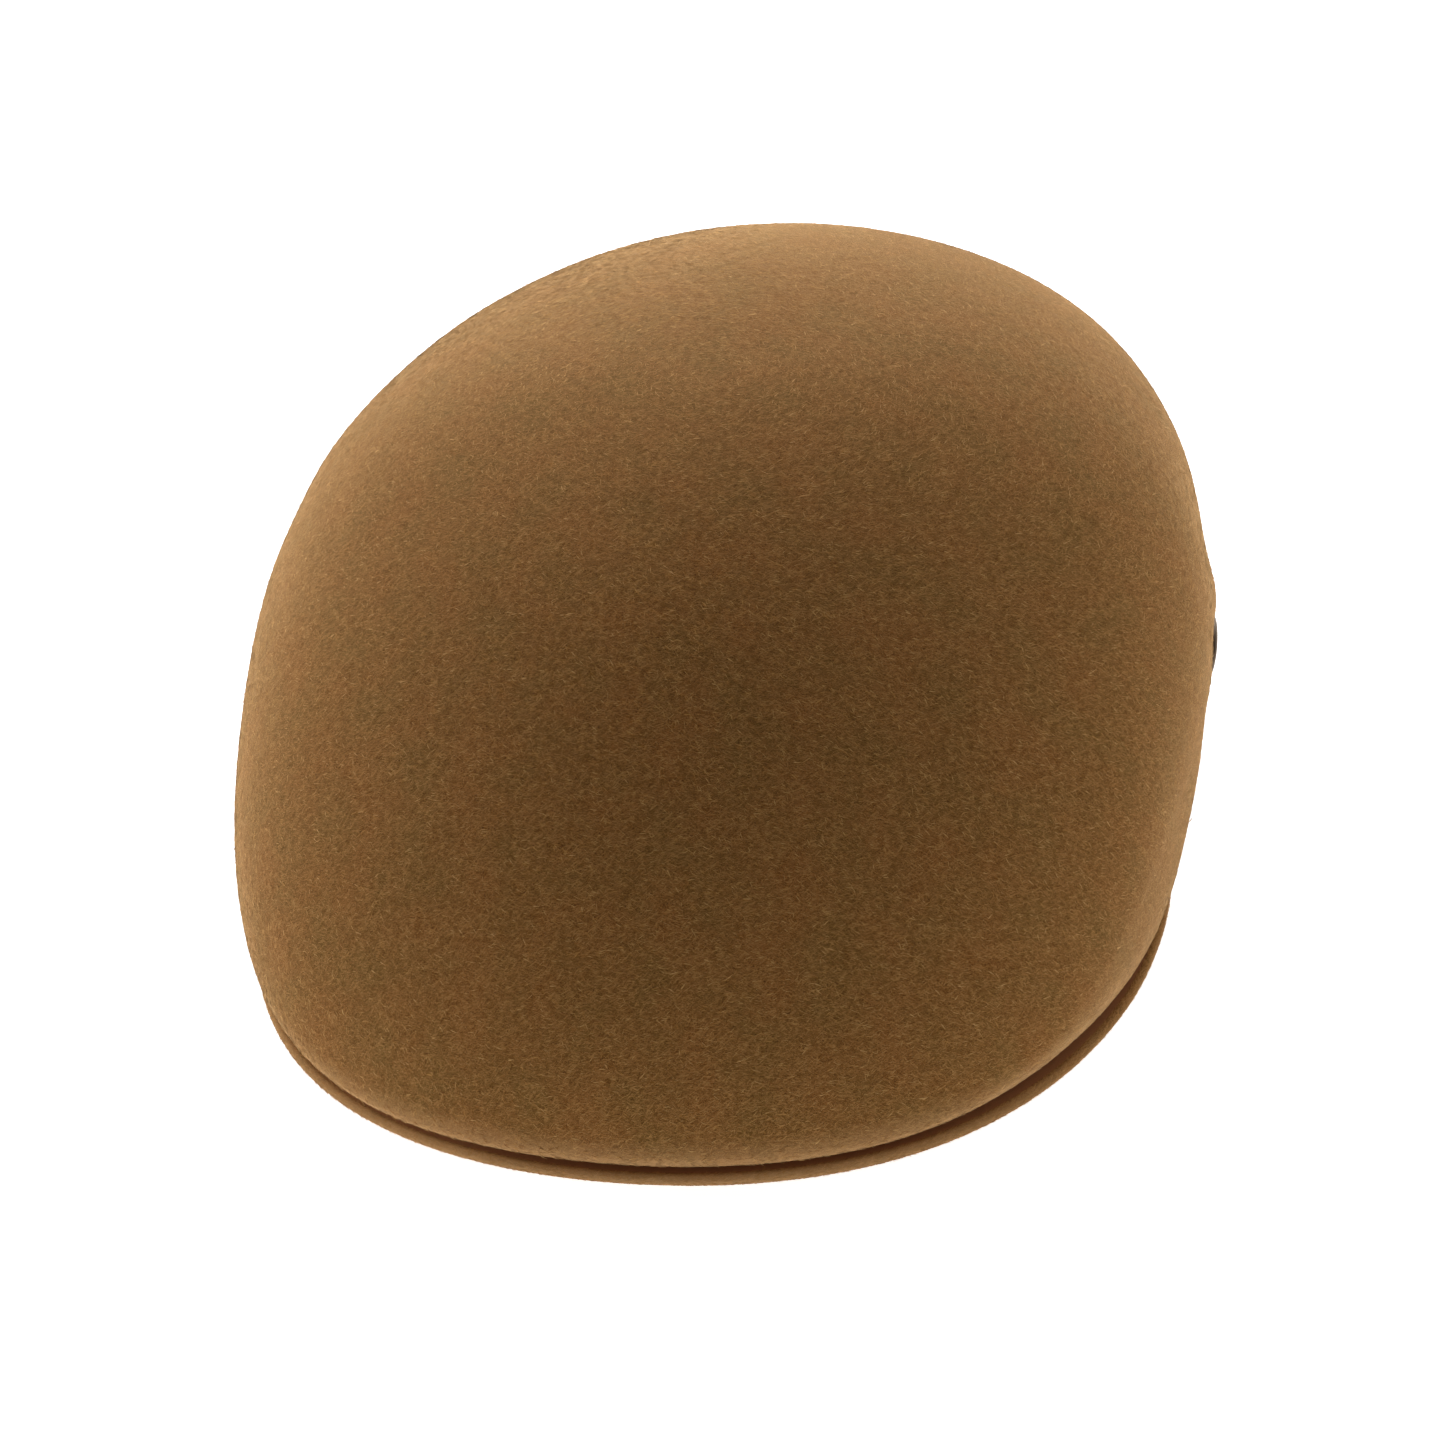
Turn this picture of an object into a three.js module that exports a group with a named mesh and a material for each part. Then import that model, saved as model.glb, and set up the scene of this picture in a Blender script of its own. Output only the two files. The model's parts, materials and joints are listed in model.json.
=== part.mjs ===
// A fur felt cap. The low domed crown is one felt, blocked to shape, which rolls over a short
// stiff peak at the front and ends in an open rim round the head.
// Millimetres, +Z up. The wearer faces -Y and has the left hand at +X. The origin is on the
// floor under the middle of the cap, which rests there on its back rim and on the peak.
import * as THREE from 'three';

// Driving dimensions
const crownHeight = 100;
const feltThickness = 2.5;
const peakThickness = 3;
const seamGap = 0.3;
const headHalfWidth = 85.5;
const headHalfLength = 100;
const frontSwellRadius = 139.5;
const backSwellRadius = 111.5;

// Crown sections, one row for each direction seen from the crown's highest point. The rows are
// 30 degrees apart, from the front to the back, and both sides of the cap are alike.
// swellRadius and swellHeight place the widest line, rimRadius and rimHeight the lower edge.
// sideFullness and topFullness are the exponents of the upper curve, where 2 and 2 make a
// quarter ellipse. underTurn is how many degrees the lower curve turns, where 90 ends level.
const sectionColumns = [
  'swellRadius', 'swellHeight', 'rimRadius', 'rimHeight', 'sideFullness', 'topFullness', 'underTurn',
];
const crownSections = [
  [frontSwellRadius, 9.5, 131.5, peakThickness + seamGap, 2, 1.52, 90],
  [136, 10.5, 126, 4, 2, 1.55, 90],
  [112.5, 29, 108.5, 4.6, 2.05, 1.85, 85],
  [100, 41, 88, 6.2, 2.12, 2.15, 70],
  [99.5, 46, 91, 2.6, 2.05, 2.15, 60],
  [109.5, 44, 98.5, -0.2, 1.95, 2.05, 55],
  [backSwellRadius, 45, 102.5, -0.2, 1.95, 2.1, 55],
];
const apexY = (frontSwellRadius - backSwellRadius) / 2;

// The rim's end face is upright where the felt is turned in over the peak, and level where the
// rim goes round the head. It changes between these two directions.
const endFaceTurns = { from: 60, to: 95 };

// Peak outline: how far its edge lies inside the crown's widest line, the directions between
// which the edge slips under the rim, and those between which its ends are rounded off.
const peakSetback = 1.5;
const peakSlipsUnder = { from: 46, to: 63 };
const peakRoundsOff = { from: 66, to: 80 };

// Badge: an oval plate on the wearer's left side
const badgeDirection = 101;
const badgeHeight = 23;
const badgeLength = 16;
const badgeWidth = 12;
const badgeThickness = 1;
const badgeBevel = 0.4;

// Fineness of the faceted surfaces
const crownSectors = 72;
const upperRows = 15;
const lowerRows = 5;
const peakStep = 2.5;
const edgeSteps = 6;
const badgeSectors = 32;

const feltMaterial = () => new THREE.MeshStandardMaterial({ color: 0x7b5830, roughness: 1, metalness: 0 });
const badgeMaterial = () => new THREE.MeshStandardMaterial({ color: 0x4a4038, roughness: 0.45, metalness: 0.8 });

const radians = THREE.MathUtils.degToRad;
const smoothstep = THREE.MathUtils.smoothstep;

// Joins one column of the crown's sections by a cosine series: smooth all round, and the same on
// both sides. Returns the column's value as a function of the direction in degrees.
function smoothColumn(name) {
  const column = sectionColumns.indexOf(name);
  const values = crownSections.map((row) => row[column]);
  const last = values.length - 1;
  const endWeight = (index) => (index === 0 || index === last ? 0.5 : 1);
  const terms = values.map((_, order) => {
    let sum = 0;
    values.forEach((value, index) => {
      sum += endWeight(index) * value * Math.cos(Math.PI * order * index / last);
    });
    return endWeight(order) * sum * 2 / last;
  });
  return (direction) => terms.reduce(
    (sum, term, order) => sum + term * Math.cos(order * radians(direction)),
    0,
  );
}

const swellRadius = smoothColumn('swellRadius');
const swellHeight = smoothColumn('swellHeight');
const rimRadius = smoothColumn('rimRadius');
const sideFullness = smoothColumn('sideFullness');
const topFullness = smoothColumn('topFullness');
const underTurn = smoothColumn('underTurn');
const rimHeightColumn = smoothColumn('rimHeight');

// The back of the rim is flat where it rests.
const rimHeight = (direction) => Math.max(rimHeightColumn(direction), 0);

// A point at a radius and height in a direction, measured round the crown's highest point
function place(direction, radius, height) {
  const angle = radians(direction);
  return new THREE.Vector3(radius * Math.sin(angle), apexY - radius * Math.cos(angle), height);
}

// The crown's upper curve at a share of its way from the apex (0) to the widest line (1).
// inset is how far the surface lies inside the crown's outer surface.
function upperPoint(direction, share, inset) {
  const angle = share * Math.PI / 2;
  const across = Math.sin(angle) ** (2 / sideFullness(direction));
  const up = Math.max(Math.cos(angle), 0) ** (2 / topFullness(direction));
  const low = swellHeight(direction);
  const radius = (swellRadius(direction) - inset) * across;
  return place(direction, radius, low + (crownHeight - inset - low) * up);
}

// The crown's lower curve at a share of its way from the widest line (0) to the rim (1)
function lowerPoint(direction, share, inset) {
  const fullTurn = radians(underTurn(direction));
  const turn = share * fullTurn;
  const off = Math.abs(direction);
  const upright = 1 - smoothstep(off, endFaceTurns.from, endFaceTurns.to);
  const widest = swellRadius(direction) - inset;
  const endRadius = rimRadius(direction) - inset * (1 - upright);
  const endHeight = rimHeight(direction) + inset * upright;
  const inward = (1 - Math.cos(turn)) / (1 - Math.cos(fullTurn));
  const down = Math.sin(turn) / Math.sin(fullTurn);
  const high = swellHeight(direction);
  return place(direction, widest - (widest - endRadius) * inward, high - (high - endHeight) * down);
}

// One closed body from rings of equal length, with a point that closes each end
function closedBody(startPoint, rings, endPoint) {
  const count = rings[0].length;
  const points = [startPoint, ...rings.flat(), endPoint];
  const first = (ring) => 1 + ring * count;
  const lastPoint = points.length - 1;
  const faces = [];
  for (let side = 0; side < count; side += 1) {
    const next = (side + 1) % count;
    faces.push(0, first(0) + side, first(0) + next);
    for (let ring = 0; ring < rings.length - 1; ring += 1) {
      const near = first(ring);
      const far = first(ring + 1);
      faces.push(near + side, far + side, far + next);
      faces.push(near + side, far + next, near + next);
    }
    const end = first(rings.length - 1);
    faces.push(end + side, lastPoint, end + next);
  }
  const geometry = new THREE.BufferGeometry().setFromPoints(points);
  geometry.setIndex(faces);
  geometry.computeVertexNormals();
  return geometry;
}

// The crown runs from its outer apex down to the rim, round the end face and up the inside.
function crownGeometry() {
  const directions = [];
  for (let sector = 0; sector < crownSectors; sector += 1) {
    directions.push(sector * 360 / crownSectors - 180);
  }
  const surface = (inset) => {
    const rings = [];
    for (let row = 1; row <= upperRows; row += 1) {
      rings.push(directions.map((direction) => upperPoint(direction, row / upperRows, inset)));
    }
    for (let row = 1; row <= lowerRows; row += 1) {
      rings.push(directions.map((direction) => lowerPoint(direction, row / lowerRows, inset)));
    }
    return rings;
  };
  const outerApex = new THREE.Vector3(0, apexY, crownHeight);
  const innerApex = new THREE.Vector3(0, apexY, crownHeight - feltThickness);
  return closedBody(outerApex, [...surface(0), ...surface(feltThickness).reverse()], innerApex);
}

// Radius of the oval round the head
function headRadius(direction) {
  const angle = radians(direction);
  return 1 / Math.hypot(Math.sin(angle) / headHalfWidth, Math.cos(angle) / headHalfLength);
}

// The peak's cross section in one direction: flat above and below, half round at both edges,
// and just under the crown's rim
function peakSection(direction) {
  const off = Math.abs(direction);
  const underRim = smoothstep(off, peakSlipsUnder.from, peakSlipsUnder.to);
  const openEdge = swellRadius(direction) - peakSetback;
  const outer = THREE.MathUtils.lerp(openEdge, rimRadius(direction), underRim);
  const inner = headRadius(direction);
  const pastCorner = THREE.MathUtils.inverseLerp(peakRoundsOff.from, peakRoundsOff.to, off);
  const taper = Math.sqrt(1 - THREE.MathUtils.clamp(pastCorner, 0, 1) ** 2);
  const edgeRadius = peakThickness / 2;
  const middle = (outer + inner) / 2;
  const halfFlat = Math.max((outer - inner) / 2 * taper - edgeRadius, 0);
  const height = rimHeight(direction) - seamGap - edgeRadius;
  const points = [];
  [1, -1].forEach((edge) => {
    for (let step = 0; step <= edgeSteps; step += 1) {
      const angle = Math.PI * step / edgeSteps;
      const across = edge * (halfFlat + edgeRadius * Math.sin(angle));
      points.push(place(direction, middle + across, height + edge * edgeRadius * Math.cos(angle)));
    }
  });
  return { points, centre: place(direction, middle, height) };
}

function peakGeometry() {
  const sections = [];
  for (let direction = peakRoundsOff.to; direction >= -peakRoundsOff.to; direction -= peakStep) {
    sections.push(peakSection(direction));
  }
  const rings = sections.map((section) => section.points);
  return closedBody(sections[0].centre, rings, sections[sections.length - 1].centre);
}

// The badge is turned from its profile about its own axis and drawn out to an oval.
function badgeGeometry() {
  const radius = badgeLength / 2;
  const profile = [
    new THREE.Vector2(0, 0),
    new THREE.Vector2(radius, 0),
    new THREE.Vector2(radius, badgeThickness - badgeBevel),
    new THREE.Vector2(radius - badgeBevel, badgeThickness),
    new THREE.Vector2(0, badgeThickness),
  ];
  const geometry = new THREE.LatheGeometry(profile, badgeSectors);
  return geometry.scale(1, 1, badgeWidth / badgeLength);
}

// The share of the lower curve's way at which it is at a given height
function lowerShareAt(direction, height) {
  const fullTurn = radians(underTurn(direction));
  const high = swellHeight(direction);
  const down = (high - height) / (high - rimHeight(direction));
  return Math.asin(down * Math.sin(fullTurn)) / fullTurn;
}

// Stands the badge on the crown's side, its axis along the felt's outward normal and its length
// fore and aft.
function seatBadge(badge) {
  const shareStep = 0.01;
  const directionStep = 1;
  const share = lowerShareAt(badgeDirection, badgeHeight);
  const seat = lowerPoint(badgeDirection, share, 0);
  const below = lowerPoint(badgeDirection, share + shareStep, 0);
  const behind = lowerPoint(badgeDirection + directionStep, share, 0);
  const down = below.sub(seat).normalize();
  const aft = behind.sub(seat).normalize();
  const outward = down.cross(aft).normalize();
  const across = aft.clone().cross(outward);
  badge.quaternion.setFromRotationMatrix(new THREE.Matrix4().makeBasis(aft, outward, across));
  badge.position.copy(seat).addScaledVector(outward, seamGap);
}

function namedMesh(name, geometry, material) {
  const mesh = new THREE.Mesh(geometry, material);
  mesh.name = name;
  return mesh;
}

const crown = namedMesh('crown', crownGeometry(), feltMaterial());
const peak = namedMesh('peak', peakGeometry(), feltMaterial());
const badge = namedMesh('badge', badgeGeometry(), badgeMaterial());
seatBadge(badge);

const cap = new THREE.Group();
cap.name = 'cap';
cap.add(crown, peak, badge);

export default cap;
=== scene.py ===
# %% [markdown]
# A cap of fur felt
#
# The cap is one felt of rabbit or hare fur, steamed and blocked over a wooden form until it has a
# smooth domed crown. At the front the felt rolls over a short stiff peak. This notebook dresses the
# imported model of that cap: it makes the felt's fine surface, the loose hairs that lie on it, the
# peak's rounded lip and a small plain badge, then sets up a studio to look at them.
#
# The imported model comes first, because every piece here is placed by it and never moves it.

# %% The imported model
import json
import bpy
import numpy as np
from mathutils import Matrix, Vector

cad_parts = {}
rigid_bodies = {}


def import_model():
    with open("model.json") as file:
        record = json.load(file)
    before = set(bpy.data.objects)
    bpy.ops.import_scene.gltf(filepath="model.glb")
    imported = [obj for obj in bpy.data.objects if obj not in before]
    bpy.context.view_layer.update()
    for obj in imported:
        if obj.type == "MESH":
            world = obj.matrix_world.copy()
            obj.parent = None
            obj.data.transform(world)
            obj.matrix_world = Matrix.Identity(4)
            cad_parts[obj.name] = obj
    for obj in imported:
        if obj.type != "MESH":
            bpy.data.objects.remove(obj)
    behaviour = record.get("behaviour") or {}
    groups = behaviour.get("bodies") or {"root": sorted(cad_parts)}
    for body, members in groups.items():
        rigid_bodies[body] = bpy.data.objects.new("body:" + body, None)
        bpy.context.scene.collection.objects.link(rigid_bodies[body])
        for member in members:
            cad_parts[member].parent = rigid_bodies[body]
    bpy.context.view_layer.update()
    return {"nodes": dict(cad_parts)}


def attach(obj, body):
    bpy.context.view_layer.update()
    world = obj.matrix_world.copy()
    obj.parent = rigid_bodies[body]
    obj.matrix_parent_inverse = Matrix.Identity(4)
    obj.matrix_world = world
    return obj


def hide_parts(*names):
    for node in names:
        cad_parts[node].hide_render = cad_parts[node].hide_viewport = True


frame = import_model()

# %% [markdown]
# The camera
#
# The photograph was taken with a long lens from above the front, a little to the wearer's left, and
# its horizon leans. A camera could be placed by eye, but here it is worked out from where it stands
# round the cap: an azimuth, an elevation, a distance and a lean. The same three directions that turn
# the camera also say what is right and up in the picture.

# %% The camera, from the place where the photographer stood
CAMERA_AZIMUTH = np.radians(16.1)
CAMERA_ELEVATION = np.radians(37.0)
CAMERA_LEAN = np.radians(-6.9)
CAMERA_DISTANCE = 1.4
CAMERA_LENS_MM = 168.0
CAMERA_AIM = Vector((-0.0008, -0.0116, 0.0305))
CAMERA_SEES_TO = 20.0


def make_camera():
    """Looks at the aim from a distance along the direction that azimuth and elevation give. Its right
    and up are then turned by the lean about the line of sight."""
    back = Vector((
        np.sin(CAMERA_AZIMUTH) * np.cos(CAMERA_ELEVATION),
        -np.cos(CAMERA_AZIMUTH) * np.cos(CAMERA_ELEVATION),
        np.sin(CAMERA_ELEVATION),
    ))
    level_right = Vector((np.cos(CAMERA_AZIMUTH), np.sin(CAMERA_AZIMUTH), 0.0))
    level_up = back.cross(level_right)
    right = level_right * np.cos(CAMERA_LEAN) + level_up * np.sin(CAMERA_LEAN)
    up = back.cross(right)
    camera = bpy.data.objects.new("camera", bpy.data.cameras.new("camera"))
    camera.data.lens = CAMERA_LENS_MM
    camera.data.clip_end = CAMERA_SEES_TO
    turn = Matrix((right, up, back)).transposed().to_4x4()
    camera.matrix_world = Matrix.Translation(CAMERA_AIM + back * CAMERA_DISTANCE) @ turn
    bpy.context.scene.collection.objects.link(camera)
    bpy.context.scene.camera = camera
    return camera


camera = make_camera()
print("camera at", [round(value, 3) for value in camera.location])

# %% [markdown]
# The form of the crown
#
# On the real cap the wooden block gives the form. Seen from the crown's highest point, every
# direction has its own section: an upper curve from the apex to the widest line, and a lower curve
# that turns under to the rim. It could be sculpted, or lofted through drawn curves. Here each section
# is a row of seven sizes, and a cosine series joins the rows, which keeps the form smooth all round
# and alike on both sides, as a block is.

# %% The crown's sections, in millimetres and degrees
MM = 0.001
FELT_THICKNESS = 2.5
PEAK_THICKNESS = 3.0
SEAM_GAP = 0.3
HEAD_HALF_WIDTH = 85.5
HEAD_HALF_LENGTH = 100.0
SECTION_COLUMNS = [
    "swell_radius", "swell_height", "rim_radius", "rim_height",
    "side_fullness", "top_fullness", "under_turn",
]
CROWN_SECTIONS = np.array([
    [139.5, 9.5, 131.5, PEAK_THICKNESS + SEAM_GAP, 2.0, 1.52, 90.0],
    [136.0, 10.5, 126.0, 4.0, 2.0, 1.55, 90.0],
    [112.5, 29.0, 108.5, 4.6, 2.05, 1.85, 85.0],
    [100.0, 41.0, 88.0, 6.2, 2.12, 2.15, 70.0],
    [99.5, 46.0, 91.0, 2.6, 2.05, 2.15, 60.0],
    [109.5, 44.0, 98.5, -0.2, 1.95, 2.05, 55.0],
    [111.5, 45.0, 102.5, -0.2, 1.95, 2.1, 55.0],
])
CROWN_HEIGHT = 100.0
APEX_Y = (CROWN_SECTIONS[0, 0] - CROWN_SECTIONS[-1, 0]) / 2
print("apex behind the middle, in mm:", APEX_Y)

# %% Sections in any direction


def section(name, direction):
    """One size of the section in a direction, in degrees from the front. The seven rows are the even
    samples of a cosine series, so each term is the rows' mean product with its own cosine."""
    values = CROWN_SECTIONS[:, SECTION_COLUMNS.index(name)]
    last = len(values) - 1
    order = np.arange(last + 1)
    end_weight = np.where((order == 0) | (order == last), 0.5, 1.0)
    cosines = np.cos(np.pi * np.outer(order, order) / last)
    terms = 2 / last * end_weight * (cosines @ (end_weight * values))
    return np.cos(np.radians(direction)[..., None] * order) @ terms


def rim_height(direction):
    """The rim's height, which is cut level where the back of it rests."""
    return np.maximum(section("rim_height", direction), 0.0)


def smoothstep(value, low, high):
    """Rises from 0 at low to 1 at high, level at both ends."""
    share = np.clip((value - low) / (high - low), 0.0, 1.0)
    return share * share * (3 - 2 * share)


def place(direction, radius, height):
    """Points at a radius and height in a direction round the apex, in metres."""
    angle = np.radians(direction)
    across = radius * np.sin(angle)
    along = APEX_Y - radius * np.cos(angle)
    return np.stack([across, along, height + 0 * across], axis=-1) * MM


def upper_curve(direction, share, inset):
    """From the apex (share 0) to the widest line (share 1): a quarter of a superellipse, whose radius
    is the sine to the power 2 over the side's fullness and whose height is the cosine likewise."""
    angle = share * np.pi / 2
    across = np.sin(angle) ** (2 / section("side_fullness", direction))
    up = np.clip(np.cos(angle), 0, None) ** (2 / section("top_fullness", direction))
    low = section("swell_height", direction)
    return place(direction, (section("swell_radius", direction) - inset) * across,
                 low + (CROWN_HEIGHT - inset - low) * up)


END_FACE_TURNS = (60.0, 95.0)


def lower_curve(direction, share, inset):
    """From the widest line (share 0) to the rim (share 1): part of an ellipse, which ends level where
    it has turned a full quarter. The rim's end face is upright there and level round the head."""
    full_turn = np.radians(section("under_turn", direction))
    turn = share * full_turn
    upright = 1 - smoothstep(np.abs(direction), *END_FACE_TURNS)
    widest = section("swell_radius", direction) - inset
    end_radius = section("rim_radius", direction) - inset * (1 - upright)
    end_height = rim_height(direction) + inset * upright
    inward = (1 - np.cos(turn)) / (1 - np.cos(full_turn))
    down = np.sin(turn) / np.sin(full_turn)
    high = section("swell_height", direction)
    return place(direction, widest - (widest - end_radius) * inward, high - (high - end_height) * down)


front = np.array([0.0])
print("front swell in mm:", (upper_curve(front, 1.0, 0.0) / MM).round(1).tolist())

# %% [markdown]
# Surfaces to meshes
#
# Blender could be asked for each face in turn, but a fine felt has a hundred thousand of them. Every
# surface here is worked out as whole arrays of points, and its faces are the squares of the grid of
# those points. A closed body is a grid of rings with one point that closes each end.

# %% From arrays to a mesh


def mesh_from_arrays(name, points, corners, face_sizes):
    """One mesh from its points, the point at each corner of each face in turn, and each face's number
    of corners. The faces are smooth shaded."""
    mesh = bpy.data.meshes.new(name)
    mesh.vertices.add(len(points))
    mesh.vertices.foreach_set("co", np.asarray(points, dtype=np.float32).ravel())
    mesh.loops.add(len(corners))
    mesh.loops.foreach_set("vertex_index", np.asarray(corners, dtype=np.int32))
    starts = np.concatenate([[0], np.cumsum(face_sizes)[:-1]]).astype(np.int32)
    mesh.polygons.add(len(face_sizes))
    mesh.polygons.foreach_set("loop_start", starts)
    mesh.polygons.foreach_set("use_smooth", np.ones(len(face_sizes), dtype=bool))
    mesh.update(calc_edges=True)
    mesh.validate()
    piece = bpy.data.objects.new(name, mesh)
    bpy.context.scene.collection.objects.link(piece)
    return piece


def closed_body(name, start, rings, end):
    """A closed body from rings[ring, side] with a point at each end: squares between neighbouring
    rings and a fan of triangles at each end."""
    ring_count, side_count = rings.shape[:2]
    points = np.concatenate([[start], rings.reshape(-1, 3), [end]])
    index = 1 + np.arange(ring_count * side_count).reshape(ring_count, side_count)
    following = np.roll(index, -1, axis=1)
    squares = np.stack([index[:-1], index[1:], following[1:], following[:-1]], axis=-1).reshape(-1, 4)
    first_fan = np.stack([np.zeros(side_count, int), index[0], following[0]], axis=-1)
    last_fan = np.stack([index[-1], np.full(side_count, len(points) - 1), following[-1]], axis=-1)
    corners = np.concatenate([first_fan.ravel(), squares.ravel(), last_fan.ravel()])
    sizes = np.concatenate([np.full(side_count, 3), np.full(len(squares), 4), np.full(side_count, 3)])
    return mesh_from_arrays(name, points, corners, sizes)


def lay_map(piece, name, places):
    """Gives a piece a UV map with one place for each point."""
    corners = np.zeros(len(piece.data.loops), dtype=np.int32)
    piece.data.loops.foreach_get("vertex_index", corners)
    layer = piece.data.uv_layers.new(name=name)
    layer.uv.foreach_set("vector", np.asarray(places, dtype=np.float32)[corners].ravel())


def lay_share(piece, name, shares):
    """Gives a piece one number for each point, by name."""
    attribute = piece.data.attributes.new(name, "FLOAT", "POINT")
    attribute.data.foreach_set("value", np.asarray(shares, dtype=np.float32))


def triangle_count(piece):
    """How many triangles the piece's mesh holds."""
    piece.data.calc_loop_triangles()
    return len(piece.data.loop_triangles)


# %% [markdown]
# The crown
#
# The crown's felt is about 2.5 mm thick. It could be one sheet with a Solidify modifier, but the
# rim's end face changes direction where the felt is turned in over the peak, so the outside, the end
# face and the inside are worked out as one closed skin. Hands leave soft uneven places in a felt:
# slow waves of a few tenths of a millimetre all over, and on the photographed cap shallow dents above
# and in front of the badge, a swelling between them, and a faint dent across from them.

# %% The crown's skin
AROUND = 320
UPPER_ROWS = 96
LOWER_ROWS = 30
INNER_UPPER_ROWS = 30
INNER_LOWER_ROWS = 10
UNEVENNESS_MM = 0.12
UNEVEN_WAVES = [
    # strength, waves round the cap, drift on the way down, phase
    (1.0, 3, 5, 0.7),
    (0.7, 7, -9, 2.1),
    (0.5, 11, 14, 4.0),
]
UNEVEN_FROM_WAY = (0.0, 0.3)
UNEVEN_TO_WAY = (0.8, 1.2)
DENTS = np.array([
    # direction, way from the apex, depth in mm (a swelling's is negative), spreads of both
    [103.0, 0.94, 1.0, 9.5, 0.16],
    [84.0, 1.34, 0.9, 5.0, 0.28],
    [93.0, 1.14, 0.9, 4.5, 0.12],
    [99.0, 1.10, -0.8, 6.5, 0.06],
    [-90.0, 0.80, 0.4, 6.0, 0.08],
])


def unevenness(direction, way):
    """How far the felt lies off the block, in millimetres. The way is 0 at the apex, 1 at the widest
    line and 2 at the rim. Three slow waves fade out at both ends, and each dent is a bell curve."""
    angle = np.radians(direction)
    waves = sum(
        strength * np.sin(count * angle + drift * way + phase)
        for strength, count, drift, phase in UNEVEN_WAVES
    )
    fade = smoothstep(way, *UNEVEN_FROM_WAY) * (1 - smoothstep(way, *UNEVEN_TO_WAY))
    lies_off = UNEVENNESS_MM * waves * fade
    for dent_direction, dent_way, depth, spread, way_spread in DENTS:
        off_centre = ((direction - dent_direction) / spread) ** 2 + ((way - dent_way) / way_spread) ** 2
        lies_off = lies_off - depth * np.exp(-off_centre)
    return lies_off


def surface_rows(directions, upper_rows, lower_rows, inset):
    """Rows of points from just below the apex down to the rim, at one inset from the outer surface.
    The felt's unevenness moves each point along its radius."""
    upper_shares = (np.arange(upper_rows) + 1)[:, None] / upper_rows
    lower_shares = (np.arange(lower_rows) + 1)[:, None] / lower_rows
    across = directions[None, :]
    upper = upper_curve(across, upper_shares, inset)
    lower = lower_curve(across, lower_shares, inset)
    outward = place(across, np.ones_like(across), 0.0) - place(across, np.zeros_like(across), 0.0)
    way = np.concatenate([upper_shares, 1 + lower_shares])
    return np.concatenate([upper, lower]) + outward * unevenness(across, way)[..., None]


directions = np.arange(AROUND) * 360.0 / AROUND - 180.0
outer_rows = surface_rows(directions, UPPER_ROWS, LOWER_ROWS, 0.0)
inner_rows = surface_rows(directions, INNER_UPPER_ROWS, INNER_LOWER_ROWS, FELT_THICKNESS)
outer_apex = np.array([0.0, APEX_Y, CROWN_HEIGHT]) * MM
inner_apex = np.array([0.0, APEX_Y, CROWN_HEIGHT - FELT_THICKNESS]) * MM
crown = closed_body("felt_crown", outer_apex, np.concatenate([outer_rows, inner_rows[::-1]]), inner_apex)
print("crown triangles:", triangle_count(crown))

# %% [markdown]
# A map for the felt
#
# The felt's fibres lie along its surface, so their pattern needs a map that follows it. A map wound
# round the crown would pinch at the apex. This one lays the crown flat as a map of the world centred
# on the pole does: each point keeps its direction and its distance from the apex along the felt.

# %% The crown's map, in metres along the felt


def path_lengths(points, axis):
    """How long the way through a grid's points has become at each one, along one axis of the grid."""
    steps = np.diff(points, axis=axis, prepend=np.take(points, [0], axis=axis))
    return np.cumsum(np.linalg.norm(steps, axis=-1), axis=axis)


def map_from_apex(rows, apex):
    """Each point's direction and its distance from the apex along its own section, as a flat place."""
    from_apex = np.concatenate([np.broadcast_to(apex, rows[:1].shape), rows])
    distance = path_lengths(from_apex, 0)[1:]
    angle = np.radians(directions)[None, :]
    return np.stack([distance * np.sin(angle), -distance * np.cos(angle)], axis=-1)


outer_map = map_from_apex(outer_rows, outer_apex)
inner_map = map_from_apex(inner_rows, inner_apex)[::-1]
pole = np.zeros((1, 2))
lay_map(crown, "felt", np.concatenate([pole, outer_map.reshape(-1, 2), inner_map.reshape(-1, 2), pole]))
print("from apex to rim along the front, in mm:", round(float(np.abs(outer_map[-1]).max() / MM), 1))

# %% [markdown]
# The roll and the fold
#
# At the front the crown rolls over the peak, and its turned edge lies on it. The roll and the peak's
# lip are painted paler, a painted highlight for the light that they catch from below and in front. The
# fold below the roll gets painted shade, a reddish tone that sets its dark line. Both could be separate
# strips, but on the real cap they are the same felt, so each point only remembers how far it is on the
# roll and how deep in the fold.

# %% The crown's side of both
# Heights above the rim where the fold's painted shade and the roll's painted highlight fade out.
FOLD_HEIGHTS_MM = (0.6, 2.0)
ROLL_HEIGHTS_MM = (3.0, 11.0)
ROLL_HIGHLIGHT_SHARE = 0.6
FOLD_ENDS = (58.0, 76.0)


def near_rim(direction, rows, heights_mm):
    """How near the crown's outside lies to the rim: 1 up to the lower height above it and 0 from the
    higher one on. It fades out towards the temples, where the peak's ends slip under the rim."""
    above_rim = rows[..., 2] / MM - rim_height(direction)
    return (1 - smoothstep(above_rim, *heights_mm)) * (1 - smoothstep(np.abs(direction), *FOLD_ENDS))


def lay_on_crown(name, outside):
    """Gives the crown one number for each point: the given ones outside and 0 inside."""
    lay_share(crown, name, np.concatenate([[0.0], outside.ravel(), np.zeros(inner_map[..., 0].size), [0.0]]))


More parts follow.
